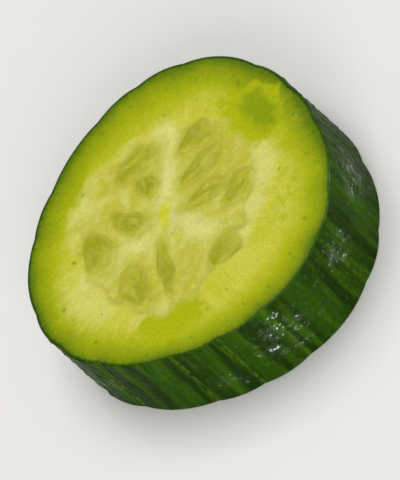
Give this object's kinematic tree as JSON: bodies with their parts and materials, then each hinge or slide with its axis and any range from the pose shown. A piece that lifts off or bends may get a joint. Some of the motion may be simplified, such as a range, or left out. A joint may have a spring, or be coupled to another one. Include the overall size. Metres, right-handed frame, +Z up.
{
  "type": "cucumber slice",
  "caption": "Thick round slice of cucumber with its peel on, lying on one cut face, with seeds, seed lobes and peel ridges in relief.",
  "frame": {"origin": "on the surface that the slice rests on, under the middle of its outline", "axes": "+Z up out of the upper cut face; +X the way that the first seed lobe points, 10 degrees from its middle; -Y the side of the peel that faces the viewer of the picture"},
  "size_m": [0.0358, 0.0356, 0.0097],
  "materials": {
    "wet_cucumber": "wet, slightly translucent yellow-green flesh with paler seed walls and olive seeds, and a thin glossy dark green peel round it"
  },
  "bodies": {
    "root": {"cucumber_slice": "wet_cucumber"}
  },
  "joints": []
}
